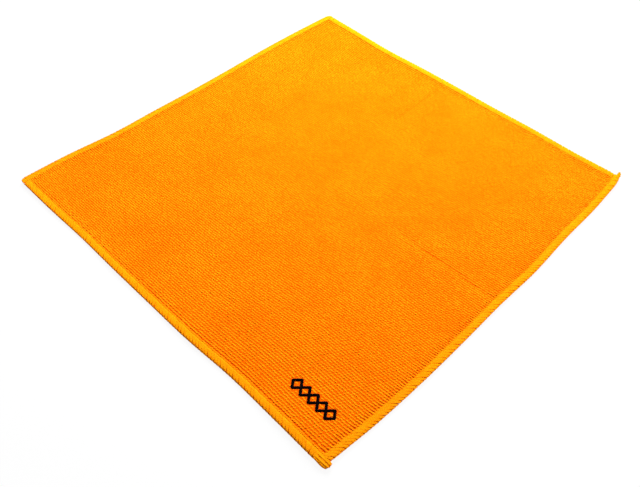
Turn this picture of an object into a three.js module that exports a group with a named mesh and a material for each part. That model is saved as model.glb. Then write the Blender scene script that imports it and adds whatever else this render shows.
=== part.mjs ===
// A leather care cloth: a square of looped terry with an overlocked edge and a small embroidered mark.
// Millimetres, Z up. The cloth lies flat, X along its near right side and Y along its near left side.
import * as THREE from "three";

const { clamp, lerp, smoothstep } = THREE.MathUtils;

// The fabric: a weft knit with loop pile on both faces, pressed flat where it is sewn.
const CLOTH_WIDTH = 400;
const CLOTH_LENGTH = 400;
const PILE_THICKNESS = 2.5;
const HEM_THICKNESS = 1.2;
const HEM_SHOULDER = 3;

// The overlock: two looper threads wrap the cut edge and a needle thread holds them down.
const THREAD_THICKNESS = 0.55;
const THREAD_CLEARANCE = 0.3;
const SEAM_WIDTH = 5.2;
const NEEDLE_THREAD_DIAMETER = 0.5;
const NEEDLE_THREAD_SIDES = 6;

// Its stitches: the upper looper thread swells over each one, sinks between two and leans along the seam.
const STITCH_PITCH = 3.5;
const STITCH_RELIEF = 0.25;
const STITCH_NOTCH = 0.25;
const STITCH_SHOULDER = 0.15;
const STITCH_LEAN_SHARE = 1;
const LEAN_FADE = 15;

// The mark: a chain of open lozenges in satin stitch, read along the near left side.
const MARK_FROM_LEFT = 24.7;
const MARK_FROM_NEAR = 21.9;
const MARK_LENGTH = 43.8;
const MARK_HEIGHT = 12.7;
const MARK_REPEATS = 5;
const MARK_STROKE = 1.8;
const MARK_NECK = 2.6;
const MARK_THREAD_THICKNESS = 0.6;
const BOBBIN_THREAD_THICKNESS = 0.4;
const MARK_FABRIC_THICKNESS = 1.3;
const MARK_SHOULDER = 2.5;

// Packing folds, each a shallow groove that fades away from the far right and near right sides.
const FIRST_FOLD_FROM_NEAR = 213;
const FIRST_FOLD_START = 275;
const SECOND_FOLD_FROM_NEAR = 307;
const SECOND_FOLD_START = 104;
const LONG_FOLD_FROM_LEFT = 199;
const LONG_FOLD_END = 75;
const FOLD_WIDTH = 8;
const FOLD_DEPTH = 0.6;
const FOLD_FADE = 60;

// How the cloth lies: its sides wander from straight lines and lift off the table here and there.
const EDGE_WANDER = 5;
const EDGE_LIFT = 3;
const LIFT_REACH = 45;
const CORNER_PULL = 3;
const CORNER_REACH = 12;
const CORNER_RADIUS = 4;
const SWELL_HEIGHT = 1.5;
const REST_DEPTH = 0.5;
const LONGEST_FACET = 31;

// The thread chain that is left at the end of the near left seam and at the end of the near right one.
const NEAR_TAIL_LENGTH = 2.4;
const NEAR_TAIL_WIDTH = 6;
const RIGHT_TAIL_LENGTH = 6;
const RIGHT_TAIL_WIDTH = 3.2;
const TAIL_CLEARANCE = 0.75;
const TAIL_HEIGHT = 2.2;
const TAIL_RISE = 1.5;
const TAIL_SIDES = 8;
const TAIL_RINGS = 9;
const TAIL_CHAIN_LOOPS = 3;

// Heights over the surface that the cloth lies along.
const HEM_UNDERSIDE = THREAD_THICKNESS + THREAD_CLEARANCE;
const HEM_TOP = HEM_UNDERSIDE + HEM_THICKNESS;
const SEAM_TOP = HEM_TOP + THREAD_CLEARANCE + THREAD_THICKNESS;
const PURL_HEIGHT = SEAM_TOP / 2;
const MARK_FABRIC_UNDERSIDE = BOBBIN_THREAD_THICKNESS + THREAD_CLEARANCE;
const MARK_UNDERSIDE = MARK_FABRIC_UNDERSIDE + MARK_FABRIC_THICKNESS + THREAD_CLEARANCE;

// Distances from the cut edge of the fabric.
const PURL_OVERHANG = THREAD_CLEARANCE + THREAD_THICKNESS;
const NEEDLE_LINE = SEAM_WIDTH + THREAD_CLEARANCE + NEEDLE_THREAD_DIAMETER / 2;
const HEM_WIDTH = NEEDLE_LINE + NEEDLE_THREAD_DIAMETER / 2 + THREAD_CLEARANCE;

const LEFT = -CLOTH_WIDTH / 2;
const RIGHT = CLOTH_WIDTH / 2;
const NEAR = -CLOTH_LENGTH / 2;
const FAR = CLOTH_LENGTH / 2;
const MARK_LEFT = LEFT + MARK_FROM_LEFT;
const MARK_RIGHT = MARK_LEFT + MARK_HEIGHT;
const MARK_NEAR = NEAR + MARK_FROM_NEAR;
const MARK_FAR = MARK_NEAR + MARK_LENGTH;
const LONG_FOLD = LEFT + LONG_FOLD_FROM_LEFT;
const CROSS_FOLDS = [
  { along: NEAR + FIRST_FOLD_FROM_NEAR, start: LEFT + FIRST_FOLD_START },
  { along: NEAR + SECOND_FOLD_FROM_NEAR, start: LEFT + SECOND_FOLD_START },
];

// The four sides. Wander is towards +X or +Y, and both lists run towards +X or +Y in even steps.
// All sides are sewn with the same face up, so their stitches lean the same way round the cloth.
const SIDES = {
  near_left: {
    wanderShares: [-0.13, 0.08, 0.28, -0.2, -0.17, -0.18, 0.01, -0.2, -0.17],
    liftShares: [0.4, 0.4, 0, 0.3, 0.1, 0.35, 0, 0.3, 0.5],
    onCloth: (inset, run) => [LEFT + inset, run],
    lean: 1,
    ends: [NEAR + HEM_WIDTH, FAR - HEM_WIDTH],
  },
  far_right: {
    wanderShares: [-0.02, 0.14, 0.3, 0.46, 0.4, 0.56, 0.24, 0.9, 0.98],
    liftShares: [0.7, 0.2, 0.3, 0, 0.3, 0.1, 0.3, 0, 0.4],
    onCloth: (inset, run) => [RIGHT - inset, run],
    lean: -1,
    ends: [NEAR + HEM_WIDTH, FAR - HEM_WIDTH],
  },
  near_right: {
    wanderShares: [0.82, 0.2, -0.12, -0.02, 0.14, 0.12, 0.62, 0.86, 1.4],
    liftShares: [0.4, 0, 0.25, 0, 0.3, 0, 0.2, 0.1, 0.7],
    onCloth: (inset, run) => [run, NEAR + inset],
    lean: -1,
    ends: [LEFT - PURL_OVERHANG, RIGHT + PURL_OVERHANG],
  },
  far_left: {
    wanderShares: [0.38, 0.42, -0.6, -0.52, -0.66, -0.34, -0.1, 0, -0.5],
    liftShares: [0.5, 0.1, 0.4, 0.3, 0.4, 0.2, 0.3, 0.1, 0.4],
    onCloth: (inset, run) => [run, FAR - inset],
    lean: 1,
    ends: [LEFT - PURL_OVERHANG, RIGHT + PURL_OVERHANG],
  },
};
const CORNER_PULL_SHARES = { near: 0.2, right: 0.4, far: 0.1, left: 0 };

/** Sorted stations with even steps between the given ones, none longer than a facet may be. */
function fillStations(given) {
  const sorted = [...given].sort((a, b) => a - b);
  const stations = [sorted[0]];
  for (let i = 1; i < sorted.length; i += 1) {
    const reach = sorted[i] - sorted[i - 1];
    const steps = Math.ceil(reach / LONGEST_FACET);
    for (let k = 1; k <= steps; k += 1) {
      stations.push(sorted[i - 1] + (reach * k) / steps);
    }
  }
  return stations;
}

/** The stations that a line across the cloth needs for its hems, a fold and the mark. */
function stationsFor(low, high, folds, markLow, markHigh) {
  const hems = [low, low + HEM_WIDTH, low + HEM_WIDTH + HEM_SHOULDER];
  const otherHems = [high - HEM_WIDTH - HEM_SHOULDER, high - HEM_WIDTH, high];
  const grooves = folds.flatMap((fold) => [fold - FOLD_WIDTH / 2, fold, fold + FOLD_WIDTH / 2]);
  const mark = [markLow - MARK_SHOULDER, markLow, markHigh, markHigh + MARK_SHOULDER];
  return fillStations([...hems, ...otherHems, ...grooves, ...mark]);
}

const CROSS_FOLD_LINES = CROSS_FOLDS.map((fold) => fold.along);
const ACROSS_STATIONS = stationsFor(LEFT, RIGHT, [LONG_FOLD], MARK_LEFT, MARK_RIGHT);
const ALONG_STATIONS = stationsFor(NEAR, FAR, CROSS_FOLD_LINES, MARK_NEAR, MARK_FAR);

/** The facet that holds a place, as the index of its first station and the share of the way on. */
function facetAt(stations, place) {
  const after = stations.findIndex((station) => station > place);
  const first = clamp(after < 0 ? stations.length : after - 1, 0, stations.length - 2);
  const share = (place - stations[first]) / (stations[first + 1] - stations[first]);
  return { first, share: clamp(share, 0, 1) };
}

/** A smooth curve through evenly spaced shares, read at a share of a side's length. */
function smoothShares(shares) {
  const curve = new THREE.SplineCurve(shares.map((share, i) => new THREE.Vector2(i, share)));
  return (lengthShare) => curve.getPoint(clamp(lengthShare, 0, 1)).y;
}

const shareAcross = (across) => (across - LEFT) / CLOTH_WIDTH;
const shareAlong = (along) => (along - NEAR) / CLOTH_LENGTH;

/** How far a side strays from its straight line at each station, with both of its corners drawn in. */
function wanderOf(side, stations, lengthShare, firstPull, lastPull) {
  const shares = smoothShares(side.wanderShares);
  const start = stations[0];
  const end = stations[stations.length - 1];
  const values = stations.map((place) => {
    const first = firstPull * (1 - smoothstep(place - start, 0, CORNER_REACH));
    const last = lastPull * (1 - smoothstep(end - place, 0, CORNER_REACH));
    return EDGE_WANDER * shares(lengthShare(place)) + CORNER_PULL * (first + last);
  });
  return (place) => {
    const { first, share } = facetAt(stations, place);
    return lerp(values[first], values[first + 1], share);
  };
}

const pull = CORNER_PULL_SHARES;
const leftWander = wanderOf(SIDES.near_left, ALONG_STATIONS, shareAlong, pull.near, pull.left);
const rightWander = wanderOf(SIDES.far_right, ALONG_STATIONS, shareAlong, -pull.right, -pull.far);
const nearWander = wanderOf(SIDES.near_right, ACROSS_STATIONS, shareAcross, pull.near, pull.right);
const farWander = wanderOf(SIDES.far_left, ACROSS_STATIONS, shareAcross, -pull.left, -pull.far);

const leftLift = smoothShares(SIDES.near_left.liftShares);
const rightLift = smoothShares(SIDES.far_right.liftShares);
const nearLift = smoothShares(SIDES.near_right.liftShares);
const farLift = smoothShares(SIDES.far_left.liftShares);

/** How high the nearest lifted sides carry the cloth, fading to nothing inwards. */
function edgeLift(across, along) {
  const fade = (inset) => 1 - smoothstep(inset, 0, LIFT_REACH);
  const lifts = [
    leftLift(shareAlong(along)) * fade(across - LEFT),
    rightLift(shareAlong(along)) * fade(RIGHT - across),
    nearLift(shareAcross(across)) * fade(along - NEAR),
    farLift(shareAcross(across)) * fade(FAR - along),
  ];
  return EDGE_LIFT * Math.max(0, ...lifts);
}

/** A swell between neighbouring fold lines: nothing on a line and one half way between two. */
function swellShare(place, lines) {
  const after = lines.findIndex((line) => line > place);
  if (after < 1) {
    return 0;
  }
  const share = (place - lines[after - 1]) / (lines[after] - lines[after - 1]);
  return Math.sin(Math.PI * share);
}

/** Height of the surface that the cloth lies along. The low parts are flat on the table. */
function restingHeight(across, along) {
  const acrossSwell = swellShare(across, [LEFT, LONG_FOLD, RIGHT]);
  const alongSwell = swellShare(along, [NEAR, ...CROSS_FOLD_LINES, FAR]);
  return Math.max(edgeLift(across, along), SWELL_HEIGHT * acrossSwell * alongSwell - REST_DEPTH);
}

const RESTING_HEIGHTS = ACROSS_STATIONS.map((across) =>
  ALONG_STATIONS.map((along) => restingHeight(across, along)),
);

/** The same height between the stations, where the facets of the fabric lie. */
function facetHeight(across, along) {
  const a = facetAt(ACROSS_STATIONS, across);
  const b = facetAt(ALONG_STATIONS, along);
  const row = RESTING_HEIGHTS[a.first];
  const nextRow = RESTING_HEIGHTS[a.first + 1];
  const height = lerp(row[b.first], row[b.first + 1], b.share);
  const nextHeight = lerp(nextRow[b.first], nextRow[b.first + 1], b.share);
  return lerp(height, nextHeight, a.share);
}

/** Draws a point near a corner of the flat square in, so that the corner is a quarter circle. */
function roundCorner(across, along) {
  const pastAcross = Math.max(LEFT + CORNER_RADIUS - across, across - RIGHT + CORNER_RADIUS);
  const pastAlong = Math.max(NEAR + CORNER_RADIUS - along, along - FAR + CORNER_RADIUS);
  if (pastAcross <= 0 || pastAlong <= 0) {
    return [across, along];
  }
  const drawn = 1 - Math.max(pastAcross, pastAlong) / Math.hypot(pastAcross, pastAlong);
  return [
    across - Math.sign(across) * pastAcross * drawn,
    along - Math.sign(along) * pastAlong * drawn,
  ];
}

/** Lays a point of the flat cloth where the real cloth has it. */
function lay(flatAcross, flatAlong, height) {
  const [across, along] = roundCorner(flatAcross, flatAlong);
  const acrossShare = clamp(shareAcross(across), 0, 1);
  const alongShare = clamp(shareAlong(along), 0, 1);
  const x = across + lerp(leftWander(along), rightWander(along), acrossShare);
  const y = along + lerp(nearWander(across), farWander(across), alongShare);
  return new THREE.Vector3(x, y, facetHeight(across, along) + height);
}

/** A closed solid from its corners and triangles, turned so that its faces point out. */
function closedSolid(corners, triangles) {
  let volume = 0;
  for (const [a, b, c] of triangles) {
    volume += corners[a].dot(new THREE.Vector3().crossVectors(corners[b], corners[c]));
  }
  const facingOut = volume > 0 ? triangles : triangles.map(([a, b, c]) => [a, c, b]);
  const geometry = new THREE.BufferGeometry().setFromPoints(corners);
  geometry.setIndex(facingOut.flat());
  geometry.computeVertexNormals();
  return geometry;
}

/** A solid through rings of like corners. Each ring's first corner sees all of its others. */
function loft(rings) {
  const sides = rings[0].length;
  const triangles = [];
  for (let i = 0; i + 1 < rings.length; i += 1) {
    for (let k = 0; k < sides; k += 1) {
      const next = (k + 1) % sides;
      const here = i * sides;
      const there = here + sides;
      triangles.push([here + k, here + next, there + next]);
      triangles.push([here + k, there + next, there + k]);
    }
  }
  const last = (rings.length - 1) * sides;
  for (let k = 1; k + 1 < sides; k += 1) {
    triangles.push([0, k + 1, k]);
    triangles.push([last, last + k, last + k + 1]);
  }
  return closedSolid(rings.flat(), triangles);
}

function named(name, geometry, material) {
  const mesh = new THREE.Mesh(geometry, material.clone());
  mesh.name = name;
  return mesh;
}

/** Depth of the packing folds: full on a fold line and nothing half a groove away. */
function foldDepth(across, along) {
  let depth = 0;
  for (const fold of CROSS_FOLDS) {
    if (Math.abs(along - fold.along) < FOLD_WIDTH / 4) {
      depth = FOLD_DEPTH * smoothstep(across, fold.start, fold.start + FOLD_FADE);
    }
  }
  if (Math.abs(across - LONG_FOLD) < FOLD_WIDTH / 4) {
    const end = NEAR + LONG_FOLD_END;
    depth = Math.max(depth, FOLD_DEPTH * (1 - smoothstep(along, end, end + FOLD_FADE)));
  }
  return depth;
}

/** The fabric's underside and top at a station, pressed thin in the hem and below the mark. */
function fabricFaces(across, along) {
  const inset = Math.min(across - LEFT, RIGHT - across, along - NEAR, FAR - along);
  if (inset < HEM_WIDTH + HEM_SHOULDER / 2) {
    return [HEM_UNDERSIDE, HEM_TOP];
  }
  const fromMark = Math.max(
    MARK_LEFT - across,
    across - MARK_RIGHT,
    MARK_NEAR - along,
    along - MARK_FAR,
  );
  if (fromMark < MARK_SHOULDER / 2) {
    return [MARK_FABRIC_UNDERSIDE, MARK_FABRIC_UNDERSIDE + MARK_FABRIC_THICKNESS];
  }
  return [0, PILE_THICKNESS - foldDepth(across, along)];
}

function terryPanel(material) {
  const rows = ACROSS_STATIONS.length;
  const columns = ALONG_STATIONS.length;
  const corners = [];
  for (const across of ACROSS_STATIONS) {
    for (const along of ALONG_STATIONS) {
      const [underside, top] = fabricFaces(across, along);
      corners.push(lay(across, along, underside), lay(across, along, top));
    }
  }
  const under = (i, j) => 2 * (i * columns + j);
  const over = (i, j) => under(i, j) + 1;
  const triangles = [];
  const quad = (a, b, c, d) => triangles.push([a, b, c], [a, c, d]);
  for (let i = 0; i + 1 < rows; i += 1) {
    for (let j = 0; j + 1 < columns; j += 1) {
      quad(over(i, j), over(i + 1, j), over(i + 1, j + 1), over(i, j + 1));
      quad(under(i, j), under(i, j + 1), under(i + 1, j + 1), under(i + 1, j));
    }
    quad(under(i, 0), under(i + 1, 0), over(i + 1, 0), over(i, 0));
    quad(over(i, columns - 1), over(i + 1, columns - 1), under(i + 1, columns - 1), under(i, columns - 1));
  }
  for (let j = 0; j + 1 < columns; j += 1) {
    quad(over(0, j), over(0, j + 1), under(0, j + 1), under(0, j));
    quad(under(rows - 1, j), under(rows - 1, j + 1), over(rows - 1, j + 1), over(rows - 1, j));
  }
  return named("terry_panel", closedSolid(corners, triangles), material);
}

/** Section of the upper looper thread as distance in from the cut edge and height, its inner bend first. */
function upperLooperSection(relief, notch) {
  const overhang = PURL_OVERHANG - notch;
  return [
    [-THREAD_CLEARANCE, HEM_TOP + THREAD_CLEARANCE],
    [SEAM_WIDTH, HEM_TOP + THREAD_CLEARANCE],
    [SEAM_WIDTH, SEAM_TOP - relief],
    [STITCH_SHOULDER - overhang, SEAM_TOP - relief],
    [-overhang, PURL_HEIGHT + THREAD_CLEARANCE / 2],
  ];
}

const STITCH_CREST_SECTION = upperLooperSection(0, 0);
const STITCH_VALLEY_SECTION = upperLooperSection(STITCH_RELIEF, STITCH_NOTCH);
const LOWER_LOOPER_SECTION = STITCH_CREST_SECTION.map(([inset, height]) => [inset, SEAM_TOP - height]);
const NEEDLE_THREAD_SECTION = Array.from({ length: NEEDLE_THREAD_SIDES }, (_, k) => {
  const angle = (2 * Math.PI * (k + 1 / 2)) / NEEDLE_THREAD_SIDES;
  const radius = NEEDLE_THREAD_DIAMETER / 2;
  const centre = HEM_TOP + THREAD_CLEARANCE + radius;
  return [NEEDLE_LINE + radius * Math.cos(angle), centre + radius * Math.sin(angle)];
});

/** A thread of even section along a side, with a ring at its ends and at each station between them. */
function evenThread(side, section) {
  const [start, end] = side.ends;
  const isAcross = side.onCloth(0, end)[0] === end;
  const stations = isAcross ? ACROSS_STATIONS : ALONG_STATIONS;
  const inner = stations.filter((station) => station > start && station < end);
  const rings = [start, ...inner, end].map((run) =>
    section.map(([inset, height]) => lay(...side.onCloth(inset, run), height)),
  );
  return loft(rings);
}

/** The stitches of a side: a ring in each valley and on each crest, leaning except at the two ends. */
function stitchedThread(side) {
  const [start, end] = side.ends;
  const stitches = Math.round((end - start) / STITCH_PITCH);
  const halfPitch = (end - start) / (2 * stitches);
  const rings = [];
  for (let k = 0; k <= 2 * stitches; k += 1) {
    const run = start + k * halfPitch;
    const section = k % 2 === 0 ? STITCH_VALLEY_SECTION : STITCH_CREST_SECTION;
    const fade = smoothstep(Math.min(run - start, end - run), 0, LEAN_FADE);
    const lean = side.lean * STITCH_LEAN_SHARE * fade;
    const ring = section.map(([inset, height]) => {
      const leaning = run + lean * (inset + PURL_OVERHANG);
      return lay(...side.onCloth(inset, leaning), height);
    });
    rings.push(ring);
  }
  return loft(rings);
}

function overlockSeam(sideName, side, material) {
  return [
    named(`${sideName}_upper_looper_thread`, stitchedThread(side), material),
    named(`${sideName}_lower_looper_thread`, evenThread(side, LOWER_LOOPER_SECTION), material),
    named(`${sideName}_needle_thread`, evenThread(side, NEEDLE_THREAD_SECTION), material),
  ];
}

/** A cut thread chain that follows a curve, pinched between its loops and drawn to a tip. */
function threadTail(name, points, width, tipShare, material) {
  const curve = new THREE.CatmullRomCurve3(points);
  const rings = [];
  for (let i = 0; i < TAIL_RINGS; i += 1) {
    const share = i / (TAIL_RINGS - 1);
    const centre = curve.getPoint(share);
    const heading = curve.getTangent(share);
    const sideways = new THREE.Vector3(-heading.y, heading.x, 0).normalize();
    const upward = new THREE.Vector3().crossVectors(heading, sideways);
    const pinch = 1 - Math.abs(Math.sin(Math.PI * TAIL_CHAIN_LOOPS * share)) / 5;
    const scale = pinch * lerp(1, tipShare, share * share);
    const ring = [];
    for (let k = 0; k < TAIL_SIDES; k += 1) {
      const angle = (2 * Math.PI * k) / TAIL_SIDES;
      const corner = centre.clone();
      corner.addScaledVector(sideways, (scale * width * Math.cos(angle)) / 2);
      corner.addScaledVector(upward, (scale * TAIL_HEIGHT * Math.sin(angle)) / 2);
      ring.push(corner);
    }
    rings.push(ring);
  }
  return named(name, loft(rings), material);
}

/** The thick stub at the near corner. It runs on from the near left seam, past the near right one. */
function nearTail(material) {
  const root = NEAR - PURL_OVERHANG - TAIL_CLEARANCE;
  const middle = LEFT + SEAM_WIDTH / 2;
  const points = [
    lay(middle, root, PURL_HEIGHT),
    lay(middle, root - NEAR_TAIL_LENGTH / 2, PURL_HEIGHT),
    lay(middle - NEAR_TAIL_LENGTH / 4, root - NEAR_TAIL_LENGTH, PURL_HEIGHT),
  ];
  return threadTail("thread_tail_near", points, NEAR_TAIL_WIDTH, 0.6, material);
}

/** The longer end at the right corner. It runs on from the near right seam, narrows and rises. */
function rightTail(material) {
  const root = RIGHT + PURL_OVERHANG + TAIL_CLEARANCE;
  const middle = NEAR + SEAM_WIDTH / 2;
  const points = [
    lay(root, middle, PURL_HEIGHT),
    lay(root + RIGHT_TAIL_LENGTH / 2, middle, PURL_HEIGHT + TAIL_RISE / 3),
    lay(root + RIGHT_TAIL_LENGTH, middle + RIGHT_TAIL_LENGTH / 5, PURL_HEIGHT + TAIL_RISE),
  ];
  return threadTail("thread_tail_right", points, RIGHT_TAIL_WIDTH, 0.4, material);
}

/** Outline of the lozenge chain, with its length along Y, and one open lozenge in each repeat. */
function lozengeChain() {
  const pitch = MARK_LENGTH / MARK_REPEATS;
  const middle = (MARK_LEFT + MARK_RIGHT) / 2;
  const slope = (MARK_HEIGHT - MARK_NECK) / pitch;
  const holeHalfHeight = MARK_HEIGHT / 2 - MARK_STROKE * Math.hypot(1, slope);
  const holeHalfLength = holeHalfHeight / slope;
  const edge = [[MARK_NEAR, MARK_NECK / 2]];
  for (let k = 0; k < MARK_REPEATS; k += 1) {
    edge.push([MARK_NEAR + (k + 1 / 2) * pitch, MARK_HEIGHT / 2]);
    edge.push([MARK_NEAR + (k + 1) * pitch, MARK_NECK / 2]);
  }
  const rightEdge = edge.map(([along, half]) => new THREE.Vector2(middle + half, along));
  const leftEdge = edge.map(([along, half]) => new THREE.Vector2(middle - half, along)).reverse();
  const outline = new THREE.Shape([...rightEdge, ...leftEdge]);
  for (let k = 0; k < MARK_REPEATS; k += 1) {
    const centre = MARK_NEAR + (k + 1 / 2) * pitch;
    const hole = [
      new THREE.Vector2(middle + holeHalfHeight, centre),
      new THREE.Vector2(middle, centre + holeHalfLength),
      new THREE.Vector2(middle - holeHalfHeight, centre),
      new THREE.Vector2(middle, centre - holeHalfLength),
    ];
    outline.holes.push(new THREE.Path(hole));
  }
  return outline;
}

/** A flat layer of stitches over the lozenge chain, bent to the lie of the cloth. */
function stitchedLayer(name, underside, thickness, material) {
  const geometry = new THREE.ExtrudeGeometry(lozengeChain(), { depth: thickness, bevelEnabled: false });
  const position = geometry.getAttribute("position");
  for (let i = 0; i < position.count; i += 1) {
    const flat = new THREE.Vector3().fromBufferAttribute(position, i);
    const laid = lay(flat.x, flat.y, underside + flat.z);
    position.setXYZ(i, laid.x, laid.y, laid.z);
  }
  geometry.computeVertexNormals();
  return named(name, geometry, material);
}

const terry = new THREE.MeshStandardMaterial({ color: 0xf08a0c, roughness: 0.95, metalness: 0 });
const overlockThread = new THREE.MeshStandardMaterial({ color: 0xf7ab18, roughness: 0.8, metalness: 0 });
const embroideryThread = new THREE.MeshStandardMaterial({ color: 0x100a10, roughness: 0.6, metalness: 0 });

const cloth = new THREE.Group();
cloth.add(terryPanel(terry));
for (const [sideName, side] of Object.entries(SIDES)) {
  cloth.add(...overlockSeam(sideName, side, overlockThread));
}
cloth.add(nearTail(overlockThread));
cloth.add(rightTail(overlockThread));
cloth.add(stitchedLayer("embroidered_mark", MARK_UNDERSIDE, MARK_THREAD_THICKNESS, embroideryThread));
cloth.add(stitchedLayer("embroidered_mark_bobbin", 0, BOBBIN_THREAD_THICKNESS, embroideryThread));

// The origin is on the table, below the middle of the whole cloth.
const bounds = new THREE.Box3().setFromObject(cloth);
const middle = bounds.getCenter(new THREE.Vector3());
cloth.position.set(-middle.x, -middle.y, -bounds.min.z);

export default cloth;
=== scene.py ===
import math

import bmesh
import bpy
import numpy as np
from mathutils import Euler, Matrix


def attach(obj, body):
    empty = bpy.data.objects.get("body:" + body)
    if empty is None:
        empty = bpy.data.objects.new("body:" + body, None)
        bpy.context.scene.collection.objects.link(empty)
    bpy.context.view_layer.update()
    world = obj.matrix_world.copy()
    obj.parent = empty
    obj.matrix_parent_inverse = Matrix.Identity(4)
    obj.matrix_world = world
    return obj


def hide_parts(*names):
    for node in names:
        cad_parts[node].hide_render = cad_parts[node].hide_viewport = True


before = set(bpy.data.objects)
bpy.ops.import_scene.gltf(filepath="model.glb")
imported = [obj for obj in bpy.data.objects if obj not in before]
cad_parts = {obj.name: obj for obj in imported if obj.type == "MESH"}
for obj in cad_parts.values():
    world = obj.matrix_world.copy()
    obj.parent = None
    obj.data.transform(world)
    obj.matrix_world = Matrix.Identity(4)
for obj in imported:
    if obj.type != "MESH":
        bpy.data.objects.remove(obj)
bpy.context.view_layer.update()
bpy.ops.object.select_all(action="DESELECT")

# The camera looks down over the near corner of the cloth, as someone does who stands at a table.
# Its place and lens are worked out from the four corners of a 400 mm square.
CAMERA_PLACE = (-0.35977, -0.34723, 0.48025)
CAMERA_HEIGHT_ANGLE = math.radians(48.6333)
CAMERA_TURN = math.radians(-45.3115)
CAMERA_ROLL = math.radians(0.3755)
CAMERA_LENS = 41.285

camera_turn = Euler((math.pi / 2 - CAMERA_HEIGHT_ANGLE, 0, CAMERA_TURN)).to_matrix()
camera_turn = camera_turn @ Matrix.Rotation(CAMERA_ROLL, 3, "Z")
bpy.ops.object.camera_add(location=CAMERA_PLACE, rotation=camera_turn.to_euler())
camera = bpy.context.active_object
camera.data.lens = CAMERA_LENS
camera.data.sensor_width = 36
camera.data.clip_start = 0.01
bpy.context.scene.camera = camera

# The ground of the fabric: a square of knitted microfibre, 400 mm a side, that carries the pile on both
# faces. It is pressed thin in its sewn hem, lifts off the table at its edges and swells a little between its
# folds.
MM = 0.001
SIDE = 400.0
HALF = SIDE / 2
CLOTH_MIDDLE_X = -2.5267
CLOTH_MIDDLE_Y = -0.9129
HEM_WIDTH = 6.3
HEM_SHOULDER = 3.0
HEM_FACES = (0.85, 2.05)
GROUND_FACES = (0.8, 2.03)
GROUND_CELLS = 134
EDGE_WANDER = 5.0
EDGE_LIFT = 3.0
LIFT_REACH = 45.0
CORNER_PULL = 3.0
CORNER_REACH = 12.0
CORNER_RADIUS = 4.0
SWELL_HEIGHT = 1.5
REST_DEPTH = 0.5
CROSS_FOLDS = ((13.0, 75.0), (107.0, -96.0))
LONG_FOLD = -1.0
LONG_FOLD_END = -125.0
FOLD_FADE = 60.0
FOLD_DEPTH = 0.8
FOLD_HALF_WIDTH = 1.8
GROUND_FOLD_SHARE = 0.6

# Shares of the wander and of the lift, every 50 mm along each side, and of the pull at both ends of it.
SIDE_SHARES = {
    "near_left": {
        "wander": [-0.13, 0.08, 0.28, -0.2, -0.17, -0.18, 0.01, -0.2, -0.17],
        "lift": [0.4, 0.4, 0, 0.3, 0.1, 0.35, 0, 0.3, 0.5],
        "pull": (0.2, 0),
    },
    "far_right": {
        "wander": [-0.02, 0.14, 0.3, 0.46, 0.4, 0.56, 0.24, 0.9, 0.98],
        "lift": [0.7, 0.2, 0.3, 0, 0.3, 0.1, 0.3, 0, 0.4],
        "pull": (-0.4, -0.1),
    },
    "near_right": {
        "wander": [0.82, 0.2, -0.12, -0.02, 0.14, 0.12, 0.62, 0.86, 1.4],
        "lift": [0.4, 0, 0.25, 0, 0.3, 0, 0.2, 0.1, 0.7],
        "pull": (0.2, 0.4),
    },
    "far_left": {
        "wander": [0.38, 0.42, -0.6, -0.52, -0.66, -0.34, -0.1, 0.0, -0.5],
        "lift": [0.5, 0.1, 0.4, 0.3, 0.4, 0.2, 0.3, 0.1, 0.4],
        "pull": (0, -0.1),
    },
}


def smooth_step(value, low, high):
    share = np.clip((value - low) / (high - low), 0, 1)
    return share * share * (3 - 2 * share)


def curve_through(values, share):
    """A smooth curve through evenly spaced values, read at shares of its length."""
    values = np.asarray(values, float)
    place = np.clip(share, 0, 1) * (len(values) - 1)
    first = np.minimum(place.astype(int), len(values) - 2)
    part = place - first
    start, end = values[first], values[first + 1]
    start_slope = (end - values[np.maximum(first - 1, 0)]) / 2
    end_slope = (values[np.minimum(first + 2, len(values) - 1)] - start) / 2
    cubic = 2 * start - 2 * end + start_slope + end_slope
    square = 3 * end - 3 * start - 2 * start_slope - end_slope
    return ((cubic * part + square) * part + start_slope) * part + start


def wander(side, place):
    """How far a side strays from its straight line, with its corners drawn in."""
    shares = SIDE_SHARES[side]
    first_pull, last_pull = shares["pull"]
    pull = first_pull * (1 - smooth_step(place + HALF, 0, CORNER_REACH))
    pull = pull + last_pull * (1 - smooth_step(HALF - place, 0, CORNER_REACH))
    return EDGE_WANDER * curve_through(shares["wander"], (place + HALF) / SIDE) + CORNER_PULL * pull


def swell(place, lines):
    """Nothing on a fold line and one half way between two."""
    share = np.zeros_like(place)
    for low, high in zip(lines, lines[1:]):
        inside = (place >= low) & (place < high)
        share = np.where(inside, np.sin(math.pi * (place - low) / (high - low)), share)
    return share


def resting_height(across, along):
    """Height of the surface that the cloth lies along."""
    insets = {
        "near_left": (across + HALF, along),
        "far_right": (HALF - across, along),
        "near_right": (along + HALF, across),
        "far_left": (HALF - along, across),
    }
    lift = np.zeros_like(across)
    for side, (inset, run) in insets.items():
        share = curve_through(SIDE_SHARES[side]["lift"], (run + HALF) / SIDE)
        lift = np.maximum(lift, share * (1 - smooth_step(inset, 0, LIFT_REACH)))
    swelling = swell(across, [-HALF, LONG_FOLD, HALF])
    swelling = swelling * swell(along, [-HALF, CROSS_FOLDS[0][0], CROSS_FOLDS[1][0], HALF])
    return np.maximum(EDGE_LIFT * lift, SWELL_HEIGHT * swelling - REST_DEPTH)


def fold_depth(across, along):
    """Depth of the packing folds, which fade away from two of the sides."""
    depth = np.zeros_like(across)
    for line, start in CROSS_FOLDS:
        groove = np.exp(-(((along - line) / FOLD_HALF_WIDTH) ** 2))
        depth = np.maximum(depth, groove * smooth_step(across, start, start + FOLD_FADE))
    groove = np.exp(-(((across - LONG_FOLD) / FOLD_HALF_WIDTH) ** 2))
    fade = 1 - smooth_step(along, LONG_FOLD_END, LONG_FOLD_END + FOLD_FADE)
    return FOLD_DEPTH * np.maximum(depth, groove * fade)


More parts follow.
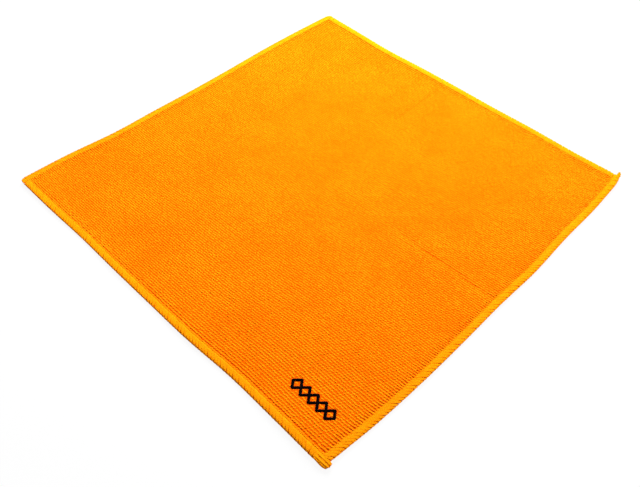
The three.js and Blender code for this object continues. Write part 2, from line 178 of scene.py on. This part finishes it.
def round_corner(across, along):
    """Draws the corners of the square in to quarter circles."""
    start = HALF - CORNER_RADIUS
    past_x, past_y = np.maximum(np.abs(across) - start, 0), np.maximum(np.abs(along) - start, 0)
    share = np.maximum(past_x, past_y) / np.maximum(np.hypot(past_x, past_y), 1e-9)
    x = np.sign(across) * (np.minimum(np.abs(across), start) + past_x * share)
    y = np.sign(along) * (np.minimum(np.abs(along), start) + past_y * share)
    return x, y


def lay(across, along, height, rounded=True):
    """Lays points of the flat cloth, in millimetres, where the cloth on the table has them, in metres."""
    if rounded:
        across, along = round_corner(across, along)
    across_share = np.clip((across + HALF) / SIDE, 0, 1)
    along_share = np.clip((along + HALF) / SIDE, 0, 1)
    left, right = wander("near_left", along), wander("far_right", along)
    near, far = wander("near_right", across), wander("far_left", across)
    x = across + left + (right - left) * across_share
    y = along + near + (far - near) * along_share
    z = resting_height(across, along) + height
    return np.stack([x + CLOTH_MIDDLE_X, y + CLOTH_MIDDLE_Y, z], axis=-1) * MM


def read_points(mesh):
    points = np.empty(len(mesh.vertices) * 3, np.float32)
    mesh.vertices.foreach_get("co", points)
    return points.reshape(-1, 3).astype(float)


def write_points(mesh, points):
    mesh.vertices.foreach_set("co", points.astype(np.float32).ravel())
    mesh.update()


def write_values(mesh, name, values):
    mesh.attributes.new(name, "FLOAT", "POINT").data.foreach_set("value", values.astype(np.float32).ravel())


def from_edge(across, along):
    return np.minimum(HALF - np.abs(across), HALF - np.abs(along))


class Field:
    """A number that varies over a surface. Arithmetic on it adds Math nodes."""

    def __init__(self, socket):
        self.socket = socket

    def maths(self, operation, first, second):
        tree = self.socket.id_data
        made = add_node(tree, "ShaderNodeMath", {"operation": operation}, {0: first, 1: second})
        return Field(made.outputs[0])

    def __add__(self, other):
        return self.maths("ADD", self, other)

    def __sub__(self, other):
        return self.maths("SUBTRACT", self, other)

    def __rsub__(self, other):
        return self.maths("SUBTRACT", other, self)

    def __mul__(self, other):
        return self.maths("MULTIPLY", self, other)

    def __pow__(self, other):
        return self.maths("POWER", self, other)

    def __rpow__(self, other):
        return self.maths("POWER", other, self)

    __radd__ = __add__
    __rmul__ = __mul__


def add_node(tree, kind, settings, sockets):
    """Adds a node: first its settings, then the values or links of its sockets."""
    made = tree.nodes.new(kind)
    for name, value in settings.items():
        setattr(made, name, value)
    for key, value in sockets.items():
        if isinstance(value, Field):
            tree.links.new(value.socket, made.inputs[key])
        elif isinstance(value, bpy.types.NodeSocket):
            tree.links.new(value, made.inputs[key])
        else:
            made.inputs[key].default_value = value
    return made


def mixed(tree, factor, first, second):
    settings = {"data_type": "RGBA", "blend_type": "MIX", "clamp_factor": True}
    return add_node(tree, "ShaderNodeMix", settings, {0: factor, 6: first, 7: second}).outputs[2]


def cloud(tree, place, scale, detail):
    sockets = {"Vector": place, "Scale": scale, "Detail": detail}
    return Field(add_node(tree, "ShaderNodeTexNoise", {}, sockets).outputs[0])


def attribute(tree, name):
    return Field(add_node(tree, "ShaderNodeAttribute", {"attribute_name": name}, {}).outputs["Fac"])


def display_colour(red, green, blue):
    """A colour as it is read off a screen, from 0 to 255, made linear."""
    shares = [value / 255 for value in (red, green, blue)]
    return (*[s / 12.92 if s <= 0.04045 else ((s + 0.055) / 1.055) ** 2.4 for s in shares], 1)


def soft_material(name, sheen, sheen_tint, roughness):
    """A matt textile surface. Returns the material, its shader and the place on the piece."""
    material = bpy.data.materials.new(name)
    material.use_nodes = True
    shader = material.node_tree.nodes["Principled BSDF"]
    shader.inputs["Roughness"].default_value = roughness
    shader.inputs["Specular IOR Level"].default_value = 0.0
    shader.inputs["Sheen Weight"].default_value = sheen
    shader.inputs["Sheen Roughness"].default_value = 0.35
    shader.inputs["Sheen Tint"].default_value = sheen_tint
    place = add_node(material.node_tree, "ShaderNodeTexCoord", {}, {}).outputs["Object"]
    return material, shader, place


def add_bump(tree, shader, height, strength, distance):
    sockets = {"Strength": strength, "Distance": distance, "Height": height}
    bump = add_node(tree, "ShaderNodeBump", {}, sockets)
    tree.links.new(bump.outputs[0], shader.inputs["Normal"])


WARM_SHEEN = (1, 0.8, 0.02, 1)
knit_material, knit_shader, knit_place = soft_material(
    "orange knitted ground", sheen=0.1, sheen_tint=WARM_SHEEN, roughness=0.95
)
knit_tree = knit_material.node_tree
knit_colour = mixed(
    knit_tree,
    cloud(knit_tree, knit_place, 300, 3),
    display_colour(226, 82, 0),
    display_colour(240, 98, 1),
)
knit_tree.links.new(knit_colour, knit_shader.inputs["Base Color"])
add_bump(knit_tree, knit_shader, cloud(knit_tree, knit_place, 900, 2), strength=0.5, distance=0.0003)

bpy.ops.mesh.primitive_grid_add(x_subdivisions=GROUND_CELLS, y_subdivisions=GROUND_CELLS, size=SIDE)
ground = bpy.context.active_object
ground.name = ground.data.name = "knitted_ground"
solidify = ground.modifiers.new("thickness", "SOLIDIFY")
solidify.thickness = 1
solidify.offset = 0
bpy.ops.object.modifier_apply(modifier=solidify.name)
points = read_points(ground.data)
inset = from_edge(points[:, 0], points[:, 1])
in_field = smooth_step(inset, HEM_WIDTH, HEM_WIDTH + HEM_SHOULDER)
under = HEM_FACES[0] + (GROUND_FACES[0] - HEM_FACES[0]) * in_field
over = HEM_FACES[1] + (GROUND_FACES[1] - HEM_FACES[1]) * in_field
over = over - fold_depth(points[:, 0], points[:, 1]) * GROUND_FOLD_SHARE
write_points(ground.data, lay(points[:, 0], points[:, 1], np.where(points[:, 2] > 0, over, under)))
bpy.ops.object.shade_smooth_by_angle(angle=math.radians(40))
ground.data.materials.append(knit_material)
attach(ground, "root")
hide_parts("terry_panel")

# The embroidered mark: a chain of five open lozenges in black satin stitch, and the bobbin thread that locks
# it. The stitches cross each stroke side by side and press the pile down below them.
MARK_MIDDLE = -168.95
MARK_NEAR = -178.1
MARK_LENGTH = 43.8
MARK_REPEATS = 5
MARK_REACH = 4.98
MARK_STROKE = 1.8
MARK_THREAD_PITCH = 0.37
MARK_THREADS = 20
MARK_THREAD_WIDTH = 0.5
MARK_THREAD_THICKNESS = 0.42
MARK_TOP = 2.95
MARK_BOTTOM = 0.02
MARK_END_DROP = 0.75
MARK_SHOULDER = 0.85
MARK_SHOULDER_DROP = 0.2
MARK_WIDTH_STRAY = 0.05
MARK_THREAD_STRAY = 0.03


def thread_tube(sides, steps):
    """A straight thread along Z from 0 to 1, one wide, with cuts at which it bends."""
    bpy.ops.mesh.primitive_cylinder_add(
        vertices=sides, radius=0.5, depth=1, location=(0, 0, 0.5), end_fill_type="TRIFAN"
    )
    tube = bpy.context.active_object
    bpy.ops.object.transform_apply(location=True)
    bpy.ops.object.mode_set(mode="EDIT")
    bpy.ops.mesh.select_mode(type="EDGE")
    bpy.ops.mesh.select_all(action="DESELECT")
    edit_mesh = bmesh.from_edit_mesh(tube.data)
    for edge in edit_mesh.edges:
        edge.select_set(abs(edge.verts[0].co.z - edge.verts[1].co.z) > 0.5)
    bmesh.update_edit_mesh(tube.data)
    bpy.ops.mesh.subdivide(number_cuts=steps - 1)
    bpy.ops.object.mode_set(mode="OBJECT")
    bpy.ops.object.shade_smooth()
    return tube


def bend_tube(tube, route, widths, thicknesses):
    """Bends a straight thread along a route. Its flat side keeps level."""
    points = read_points(tube.data)
    share = points[:, 2]
    route = np.asarray(route, float)

    def at(value):
        return np.stack([curve_through(route[:, axis], value) for axis in range(3)], axis=-1)

    heading = at(np.minimum(share + 0.02, 1)) - at(np.maximum(share - 0.02, 0))
    heading = heading / np.linalg.norm(heading, axis=1, keepdims=True)
    whole = route[-1] - route[0]
    sideways = np.array([-whole[1], whole[0], 0.0])
    sideways = sideways / np.linalg.norm(sideways)
    upward = np.cross(heading, sideways)
    upward = upward / np.linalg.norm(upward, axis=1, keepdims=True)
    width = curve_through(widths, share)[:, None]
    thickness = curve_through(thicknesses, share)[:, None]
    bent = at(share) + points[:, :1] * width * sideways + points[:, 1:2] * thickness * upward
    write_points(tube.data, bent)
    return tube


def repeat(piece, count, step, name, map_step=(0, 0)):
    """Repeats the active piece in a row. Its map may take a step with each copy."""
    array = piece.modifiers.new(name, "ARRAY")
    array.use_relative_offset = False
    array.use_constant_offset = True
    array.constant_offset_displace = step
    array.count = count
    array.offset_u, array.offset_v = map_step
    bpy.ops.object.modifier_apply(modifier=array.name)


def mark_strokes():
    """Both ends of the middle line of each stroke."""
    pitch = MARK_LENGTH / MARK_REPEATS
    strokes = []
    for k in range(MARK_REPEATS):
        near, far = MARK_NEAR + k * pitch, MARK_NEAR + (k + 1) * pitch
        for reach in (MARK_REACH, -MARK_REACH):
            corner = (MARK_MIDDLE + reach, (near + far) / 2)
            strokes.append(((MARK_MIDDLE, near), corner))
            strokes.append((corner, (MARK_MIDDLE, far)))
    return np.array(strokes)


STROKES = mark_strokes()


def from_mark(across, along):
    """Distance to the nearest stroke's middle line."""
    nearest = np.full(across.shape, 1e3)
    for (start_x, start_y), (end_x, end_y) in STROKES:
        run_x, run_y = end_x - start_x, end_y - start_y
        share = ((across - start_x) * run_x + (along - start_y) * run_y) / (run_x**2 + run_y**2)
        share = np.clip(share, 0, 1)
        distance = np.hypot(across - start_x - share * run_x, along - start_y - share * run_y)
        nearest = np.minimum(nearest, distance)
    return nearest


satin_material, satin_shader, satin_place = soft_material(
    "black satin thread", sheen=0.05, sheen_tint=(0.6, 0.55, 0.6, 1), roughness=0.5
)
satin_tree = satin_material.node_tree
satin_colour = mixed(
    satin_tree,
    cloud(satin_tree, satin_place, 700, 3),
    display_colour(7, 3, 4),
    display_colour(18, 11, 13),
)
satin_tree.links.new(satin_colour, satin_shader.inputs["Base Color"])
add_bump(satin_tree, satin_shader, cloud(satin_tree, satin_place, 3500, 2), strength=0.25, distance=0.0001)

mark_random = np.random.default_rng(5)
for name, node, top, facing in (
    ("satin_mark", "embroidered_mark", MARK_TOP, 1),
    ("bobbin_mark", "embroidered_mark_bobbin", MARK_BOTTOM, -1),
):
    mark = thread_tube(sides=5, steps=5)
    half = MARK_STROKE / 2
    middle = top - facing * MARK_THREAD_THICKNESS / 2
    ends = middle - facing * MARK_END_DROP
    shoulder = middle - facing * MARK_SHOULDER_DROP
    route = [
        (-half - 0.1, 0, ends),
        (-half * MARK_SHOULDER, 0, shoulder),
        (0, 0, middle),
        (half * MARK_SHOULDER, 0, shoulder),
        (half + 0.1, 0, ends),
    ]
    bend_tube(mark, route, [MARK_THREAD_WIDTH] * 3, [MARK_THREAD_THICKNESS] * 3)
    repeat(mark, MARK_THREADS, (0, MARK_THREAD_PITCH, 0), "threads in a stroke")
    repeat(mark, len(STROKES), (0, MARK_THREADS * MARK_THREAD_PITCH, 0), "strokes")
    mark.name = mark.data.name = name
    points = read_points(mark.data).reshape(len(STROKES), MARK_THREADS, -1, 3)
    for stroke, ((start_x, start_y), (end_x, end_y)) in zip(points, STROKES):
        stroke[..., 1] -= stroke[..., 1].mean()
        length = math.hypot(end_x - start_x, end_y - start_y)
        unit_x, unit_y = (end_x - start_x) / length, (end_y - start_y) / length
        spread = mark_random.normal(0, MARK_WIDTH_STRAY, (MARK_THREADS, 1))
        side = stroke[..., 0] * (1 + spread)
        run = stroke[..., 1] + mark_random.normal(0, MARK_THREAD_STRAY, (MARK_THREADS, 1))
        height = stroke[..., 2] + mark_random.normal(0, MARK_THREAD_STRAY, (MARK_THREADS, 1))
        x = (start_x + end_x) / 2 + unit_x * run + unit_y * side
        y = (start_y + end_y) / 2 + unit_y * run - unit_x * side
        stroke[:] = np.stack([x, y, height], axis=-1)
    points = points.reshape(-1, 3)
    write_points(mark.data, lay(points[:, 0], points[:, 1], points[:, 2]))
    mark.data.materials.append(satin_material)
    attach(mark, "root")
    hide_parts(node)

# The pile: rows of plump microfibre loops along the cloth on both faces, one knitted loop after another in a
# rib, and each beside the join of two in the next rib. Ribs lean a few degrees off the side of the cloth.
# Loops are lower in a fold and under the embroidery, and a little higher beside the seams.
RIBS = 180
LOOP_ROWS = 159
PILE_HALF_WIDTH = 196.2
PILE_HALF_LENGTH = 195.8
RIB_PITCH = 2 * PILE_HALF_WIDTH / (RIBS - 1)
LOOP_PITCH = 2 * PILE_HALF_LENGTH / (LOOP_ROWS - 1)
RIB_LEAN = math.tan(math.radians(2.9))
LOOP_TURN = math.radians(8)
LOOP_HALF_WIDTH = 1.06
LOOP_HALF_LENGTH = 1.85
EDGE_LOOP_RISE = 0.6
EDGE_LOOP_BAND = (4, 14)
WOBBLE_BAND = (7, 12)
RIB_STRAY = 0.12
ROW_STRAY = 0.2
TURN_STRAY = math.radians(9)
LEAN_STRAY = 0.18
WIDTH_SHARES = (0.9, 1.08)
LENGTH_SHARES = (0.88, 1.08)
RISE_SHARES = (0.9, 1.0)
SQUEEZE_LOSS = 0.6
SQUEEZE_SINK = 1.1
PRESSED_BAND = (MARK_STROKE / 2 + 0.1, MARK_STROKE / 2 + 1.2)
PRESSED_SHARE = 0.75
FOLDED_SHARE = 0.35
# How much painted shade a fold adds to the loops in it.
FOLD_PAINTED_SHADE = 0.3

pile_material, pile_shader, pile_place = soft_material(
    "orange microfibre loops", sheen=0.1, sheen_tint=WARM_SHEEN, roughness=0.9
)
pile_tree = pile_material.node_tree
clear_of_painted_shade = attribute(pile_tree, "clear_of_painted_shade")
tone = attribute(pile_tree, "tone")
mottle = cloud(pile_tree, pile_place, 16, 4) * 0.6 + cloud(pile_tree, pile_place, 60, 3) * 0.4
body_colour = mixed(
    pile_tree,
    mottle * 3 - 1 + (tone - 0.5) * 0.7,
    display_colour(248, 127, 7),
    display_colour(252, 147, 11),
)
# Painted shade: each loop's colour darkens from its top down to its foot, where the loops crowd one another,
# and the loops in a fold are painted darker still.
pile_colour = mixed(pile_tree, clear_of_painted_shade**0.8, display_colour(238, 98, 1), body_colour)
pile_tree.links.new(pile_colour, pile_shader.inputs["Base Color"])
add_bump(pile_tree, pile_shader, cloud(pile_tree, pile_place, 2600, 2), strength=0.6, distance=0.0003)


def knit_pile(name, first_rib, ribs, sides, rings, half_height, middle_height, facing):
    """A band of ribs on one face of the cloth."""
    bpy.ops.mesh.primitive_uv_sphere_add(
        segments=sides, ring_count=rings, radius=1, rotation=(math.pi / 2, 0, 0)
    )
    pile = bpy.context.active_object
    pile.name = pile.data.name = name
    bpy.ops.object.transform_apply(rotation=True)
    bpy.ops.object.mode_set(mode="EDIT")
    bpy.ops.mesh.select_all(action="SELECT")
    bpy.ops.transform.resize(value=(LOOP_HALF_WIDTH, LOOP_HALF_LENGTH, half_height))
    bpy.ops.object.mode_set(mode="OBJECT")
    bpy.ops.object.shade_smooth()
    own_map = pile.data.uv_layers[0]
    own_map.name = "OFBake"
    spots = np.empty(len(pile.data.loops) * 2, np.float32)
    own_map.data.foreach_get("uv", spots)
    spots = spots.reshape(-1, 2)
    spots = (0.08 + 0.84 * (spots - spots.min(0)) / np.ptp(spots, axis=0)) / (ribs, LOOP_ROWS)
    own_map.data.foreach_set("uv", spots.astype(np.float32).ravel())
    repeat(pile, ribs, (RIB_PITCH, 0, 0), "ribs", (1 / ribs, 0))
    repeat(pile, LOOP_ROWS, (0, LOOP_PITCH, 0), "rows", (0, 1 / LOOP_ROWS))

    points = read_points(pile.data).reshape(LOOP_ROWS, ribs, -1, 3)
    middles = points.mean(axis=2)
    local = points - middles[:, :, None]
    random = np.random.default_rng(100 + first_rib + (0 if facing > 0 else 1000))
    size = (LOOP_ROWS, ribs)
    across = middles[..., 0] + first_rib * RIB_PITCH - PILE_HALF_WIDTH
    along = middles[..., 1] - PILE_HALF_LENGTH
    lean = RIB_LEAN * along * (1 - (across / PILE_HALF_WIDTH) ** 4)
    wobble = 0.12 * np.sin(along / 11 + across / 29) + 0.3 * np.sin(along / 37 + across / 19)
    fade = smooth_step(from_edge(across, along), *WOBBLE_BAND)
    across = across - lean + wobble * fade + random.normal(0, RIB_STRAY, size)
    stagger = LOOP_PITCH / 4 * (2 * (np.arange(ribs) % 2) - 1)
    along = along + stagger + random.normal(0, ROW_STRAY, size)
    turn = LOOP_TURN * facing + random.normal(0, TURN_STRAY, size)
    cosine, sine = np.cos(turn)[..., None], np.sin(turn)[..., None]
    width = local[..., 0] * random.uniform(*WIDTH_SHARES, size)[..., None]
    length = local[..., 1] * random.uniform(*LENGTH_SHARES, size)[..., None]
    width = width + local[..., 2] * random.normal(0, LEAN_STRAY, size)[..., None]
    pressed = 1 - smooth_step(from_mark(across, along), *PRESSED_BAND)
    folded = fold_depth(across, along) / FOLD_DEPTH * (FOLDED_SHARE if facing > 0 else 0)
    squeeze = np.maximum(pressed * PRESSED_SHARE, folded)[..., None]
    rise = local[..., 2] * random.uniform(*RISE_SHARES, size)[..., None] * (1 - SQUEEZE_LOSS * squeeze)
    height = middle_height - facing * half_height * SQUEEZE_SINK * squeeze + rise
    if facing > 0:
        at_seam = 1 - smooth_step(from_edge(across, along), *EDGE_LOOP_BAND)
        height = height + EDGE_LOOP_RISE * at_seam[..., None]
    x = across[..., None] + width * cosine - length * sine
    y = along[..., None] + width * sine + length * cosine
    write_points(pile.data, lay(x, y, height).reshape(-1, 3))
    # Painted shade: the lower part of each loop, and more of each loop in a fold, take the darker foot
    # colour.
    raised = 0.5 + 0.5 * facing * local[..., 2] / half_height
    tones = random.uniform(0, 1, size)[..., None]
    write_values(pile.data, "clear_of_painted_shade", raised * (1 - FOLD_PAINTED_SHADE * folded[..., None]))
    write_values(pile.data, "tone", np.repeat(tones, local.shape[2], axis=2))
    pile.data.materials.append(pile_material)
    return pile


pile_pieces = []
for face, bands, loop in (
    ("front", 6, {"sides": 6, "rings": 4, "half_height": 0.86, "middle_height": 1.64, "facing": 1}),
    ("back", 3, {"sides": 5, "rings": 3, "half_height": 0.72, "middle_height": 0.72, "facing": -1}),
):
    ribs_in_band = RIBS // bands
    for band in range(bands):
        first = band * ribs_in_band
        pile_pieces.append(knit_pile(f"{face}_pile_{band + 1}", first, ribs_in_band, **loop))
for pile in pile_pieces:
    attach(pile, "root")

# The overlocked edge: on each side an upper looper thread lies in leaning stitches over the top face and a
# lower one under the bottom face. They meet in a purl round the cut edge, and a needle thread holds both down
# on the inside.
STITCH_PITCH = 3.5
SEAM_WIDTH = 5.2
PURL_OVERHANG = 0.85
NEEDLE_LINE = 5.75
SEAM_TOP = 2.9
SEAM_BOTTOM = 0.02
LEAN_FADE = 15.0
LEG_SPREAD = 0.72
LEG_WIDTHS = [1.5, 1.95, 2.05, 1.85, 1.5, 1.25]
LEG_THICKNESSES = [0.6, 0.8, 0.9, 0.9, 0.8, 0.7]
INSET_STRAY = 0.1
RUN_STRAY = 0.14
HEIGHT_STRAY = 0.04
SIDES = {
    "near_left": (1, lambda inset, run: (inset - HALF, run)),
    "far_right": (-1, lambda inset, run: (HALF - inset, run)),
    "near_right": (-1, lambda inset, run: (run, inset - HALF)),
    "far_left": (1, lambda inset, run: (run, HALF - inset)),
}

thread_material, thread_shader, thread_place = soft_material(
    "yellow orange woolly thread", sheen=0.1, sheen_tint=WARM_SHEEN, roughness=0.85
)
thread_tree = thread_material.node_tree
wide_patches = cloud(thread_tree, thread_place, 120, 3) * 0.5
thread_patches = wide_patches + cloud(thread_tree, thread_place, 900, 2) * 0.5
thread_colour = mixed(
    thread_tree,
    thread_patches * 2 - 0.5,
    display_colour(250, 137, 5),
    display_colour(254, 159, 11),
)
thread_tree.links.new(thread_colour, thread_shader.inputs["Base Color"])
thread_fuzz = cloud(thread_tree, thread_place, 3000, 3)
add_bump(thread_tree, thread_shader, thread_fuzz, strength=0.7, distance=0.0003)


def join_all(pieces):
    bpy.ops.object.select_all(action="DESELECT")
    for piece in pieces:
        piece.select_set(True)
    bpy.context.view_layer.objects.active = pieces[0]
    bpy.ops.object.join()
    return pieces[0]


def looper_stitch(sides, steps, offset):
    """Three threads of one stitch, side by side from the needle line over the edge to the purl."""
    legs = []
    for hand in (-1, 0, 1):
        inner, outer = offset + hand * STITCH_PITCH / 3, offset + hand * LEG_SPREAD
        route = [
            (NEEDLE_LINE + 0.15, inner, 1.95),
            (NEEDLE_LINE - 0.6, inner, 2.42),
            (NEEDLE_LINE * 0.62, (inner * 2 + outer) / 3, 2.56),
            (NEEDLE_LINE * 0.3, (inner + outer * 2) / 3, 2.54),
            (0.15, outer, 2.42),
            (-0.5, outer * 0.9 + offset * 0.1, 2.02),
            (-0.52, outer * 0.7 + offset * 0.3, 1.45),
        ]
        legs.append(bend_tube(thread_tube(sides, steps), route, LEG_WIDTHS, LEG_THICKNESSES))
    return join_all(legs)


upper_stitch = looper_stitch(sides=6, steps=9, offset=0)
lower_stitch = looper_stitch(sides=5, steps=5, offset=STITCH_PITCH / 2)
needle_stitch = bend_tube(
    thread_tube(sides=5, steps=4),
    route=[(NEEDLE_LINE, run, height) for run, height in ((-1.7, 2.0), (-1.1, 2.5), (1.1, 2.5), (1.7, 2.0))],
    widths=[0.5, 0.6, 0.6, 0.5],
    thicknesses=[0.4, 0.45, 0.45, 0.4],
)


def sew(template, name, side, first, last, below, seed):
    """Repeats a stitch along a side of the cloth and lays it there."""
    lean, place = SIDES[side]
    row = template.copy()
    row.data = template.data.copy()
    bpy.context.collection.objects.link(row)
    bpy.ops.object.select_all(action="DESELECT")
    row.select_set(True)
    bpy.context.view_layer.objects.active = row
    row.name = row.data.name = name
    count = round((last - first) / STITCH_PITCH)
    pitch = (last - first) / count
    repeat(row, count, (0, pitch, 0), "stitches")
    points = read_points(row.data).reshape(count, -1, 3)
    random = np.random.default_rng(seed)
    stray = random.normal(0, INSET_STRAY, (count, 1)) * np.clip(points[..., 0] / SEAM_WIDTH, -0.5, 1)
    inset = points[..., 0] + stray
    run = first + pitch / 2 + points[..., 1] + random.normal(0, RUN_STRAY, (count, 1))
    run = np.clip(run, first, last)
    fade = smooth_step(np.minimum(run - first, last - run), 0, LEAN_FADE)
    run = run + lean * fade * (inset + PURL_OVERHANG)
    height = points[..., 2] + random.normal(0, HEIGHT_STRAY, (count, 1))
    height = np.maximum(SEAM_TOP - height, SEAM_BOTTOM) if below else height
    across, along = place(inset, run)
    write_points(row.data, lay(across, along, height).reshape(-1, 3))
    bpy.ops.object.mode_set(mode="EDIT")
    bpy.ops.mesh.select_all(action="SELECT")
    bpy.ops.mesh.normals_make_consistent(inside=False)
    bpy.ops.object.mode_set(mode="OBJECT")
    row.data.materials.append(thread_material)
    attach(row, "root")
    return row


for number, side in enumerate(SIDES):
    crosses = side in ("near_right", "far_left")
    reach = HALF + PURL_OVERHANG if crosses else HALF - HEM_WIDTH
    for k, (template, label, below) in enumerate(
        (
            (upper_stitch, "upper_looper_thread", False),
            (lower_stitch, "lower_looper_thread", True),
            (needle_stitch, "needle_thread", False),
        )
    ):
        row = sew(template, f"{side}_{label}_stitches", side, -reach, reach, below, 40 + number * 3 + k)
        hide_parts(f"{side}_{label}")
for template in (upper_stitch, lower_stitch, needle_stitch):
    bpy.data.objects.remove(template)

# The thread chain that the machine leaves where it runs off the cloth: a thick stub at the near corner, in
# line with the near left seam, and a twisted end at the right corner, in line with the near right seam.
TAIL_LINE = SEAM_WIDTH / 2 - HALF


def near_tail():
    """A stub of thick plies, cut short, that rounds off the corner."""
    threads = []
    for share, height in ((-1, 1.3), (-0.5, 1.8), (0, 1.3), (0.5, 1.8), (1, 1.3)):
        reach = 3.8 - 0.7 * share**2
        start = (TAIL_LINE + share * 2.4 - 0.3, -HALF + 8.5, height + 0.9)
        bend = (TAIL_LINE + share * 2.7 - 0.5, -HALF + 1.0, height + 0.4)
        tip_end = (TAIL_LINE + share * 2.3 - 0.2, -HALF - reach, height)
        ply = thread_tube(sides=7, steps=8)
        threads.append(bend_tube(ply, [start, bend, tip_end], [1.7, 2.1, 2.1, 1.3], [1.4, 1.8, 1.8, 1.0]))
    return join_all(threads)


def right_tail():
    """Three threads twisted round each other."""
    threads = []
    line = np.array(
        [
            (HALF - 2.5, TAIL_LINE - 0.3, 1.8),
            (HALF + 1.4, TAIL_LINE - 0.4, 1.9),
            (HALF + 3.8, TAIL_LINE - 0.1, 2.2),
            (HALF + 6.0, TAIL_LINE + 0.8, 2.9),
        ]
    )
    shares = np.linspace(0, 1, 16)
    middle = np.stack([curve_through(line[:, axis], shares) for axis in range(3)], axis=-1)
    for k in range(3):
        angle = 2 * math.pi * (k / 3 + shares * 1.1)
        taper = 1 - 0.6 * shares
        route = middle.copy()
        route[:, 1] += 1.5 * taper * np.cos(angle)
        route[:, 2] += 0.5 * taper * np.sin(angle)
        ply = thread_tube(sides=6, steps=24)
        threads.append(bend_tube(ply, route, [2.4, 2.6, 2.2, 1.0], [1.4, 1.3, 1.1, 0.6]))
    return join_all(threads)


for make, name, node in (
    (near_tail, "near_thread_stub", "thread_tail_near"),
    (right_tail, "right_thread_end", "thread_tail_right"),
):
    tail = make()
    tail.name = tail.data.name = name
    points = read_points(tail.data)
    write_points(tail.data, lay(points[:, 0], points[:, 1], points[:, 2], rounded=False))
    tail.data.materials.append(thread_material)
    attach(tail, "root")
    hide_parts(node)

# The table: a plain white floor. Seen by the camera it is nearly white of itself, and it still takes the
# shadow.
FLOOR_GLOW = 0.92
floor_material = bpy.data.materials.new("white table")
floor_material.use_nodes = True
floor_tree = floor_material.node_tree
floor_shader = floor_tree.nodes["Principled BSDF"]
floor_shader.inputs["Base Color"].default_value = (0.9, 0.9, 0.9, 1)
floor_shader.inputs["Roughness"].default_value = 0.9
floor_shader.inputs["Specular IOR Level"].default_value = 0.1
light_path = add_node(floor_tree, "ShaderNodeLightPath", {}, {})
seen = light_path.outputs["Is Camera Ray"]
glow = add_node(floor_tree, "ShaderNodeEmission", {}, {"Color": (1, 1, 1, 1), "Strength": 1.0})
floor_mix = add_node(
    floor_tree,
    "ShaderNodeMixShader",
    {},
    {0: Field(seen) * FLOOR_GLOW, 1: floor_shader.outputs[0], 2: glow.outputs[0]},
)
floor_tree.links.new(floor_mix.outputs[0], floor_tree.nodes["Material Output"].inputs["Surface"])
bpy.ops.mesh.primitive_plane_add(size=12, location=(0, 0, -0.0002))
floor = bpy.context.active_object
bpy.ops.object.transform_apply(location=True)
floor.name = floor.data.name = "table_top"
floor.data.materials.append(floor_material)

# Soft daylight from a white room, one large lamp that hangs over the table above the far corner, and a
# weaker light from a lamp that stands to the right of the near right side.
ROOM_LIGHT = 0.16
LAMPS = (((0.29, 0.21, 0.52), 11.0, 0.6), ((0.9, -0.75, 0.36), 10.0, 0.6))
room = bpy.data.worlds.new("white room")
bpy.context.scene.world = room
room.use_nodes = True
room_tree = room.node_tree
room_background = room_tree.nodes["Background"]
room_background.inputs["Color"].default_value = (1, 1, 1, 1)
room_path = add_node(room_tree, "ShaderNodeLightPath", {}, {})
room_seen = Field(room_path.outputs["Is Camera Ray"])
room_strength = room_seen * (1 - ROOM_LIGHT) + ROOM_LIGHT
room_tree.links.new(room_strength.socket, room_background.inputs["Strength"])
for lamp_place, power, size in LAMPS:
    bpy.ops.object.light_add(type="AREA", location=lamp_place)
    lamp = bpy.context.active_object
    lamp.data.energy = power
    lamp.data.size = size
    lamp.rotation_euler = lamp.location.to_track_quat("Z", "Y").to_euler()
bpy.context.scene.view_settings.view_transform = "Standard"
